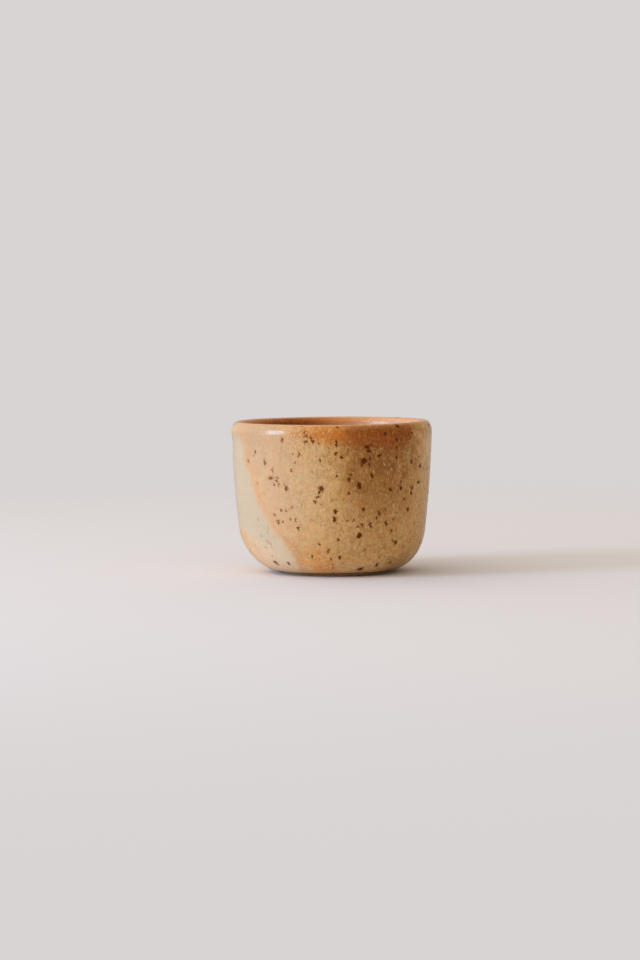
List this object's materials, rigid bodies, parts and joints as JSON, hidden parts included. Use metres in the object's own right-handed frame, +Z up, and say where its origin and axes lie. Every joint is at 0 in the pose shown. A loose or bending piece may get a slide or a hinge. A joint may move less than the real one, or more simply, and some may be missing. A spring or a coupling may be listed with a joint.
{
  "type": "coffee cup",
  "caption": "Small handleless Arabic coffee cup in speckled glazed stoneware, with a thick rounded lip, a near-upright wall, a round belly and a low bare foot ring.",
  "frame": {"origin": "middle of the foot ring's underside, on the surface that the cup stands on", "axes": "+Z up along the cup's axis of revolution, out of the mouth; the side that the picture shows faces -Y, with +X to its right"},
  "size_m": [0.06, 0.06, 0.0452],
  "materials": {
    "clay": "bare fired stoneware, matt, buff with iron specks",
    "outer_glaze": "glossy oatmeal and ochre glaze with iron specks, rust where it breaks on the lip",
    "liner_glaze": "glossy rust-orange glaze, darker where it pools on the floor"
  },
  "bodies": {
    "root": {"clay_body": "clay", "outer_glaze": "outer_glaze", "liner_glaze": "liner_glaze"}
  },
  "joints": []
}
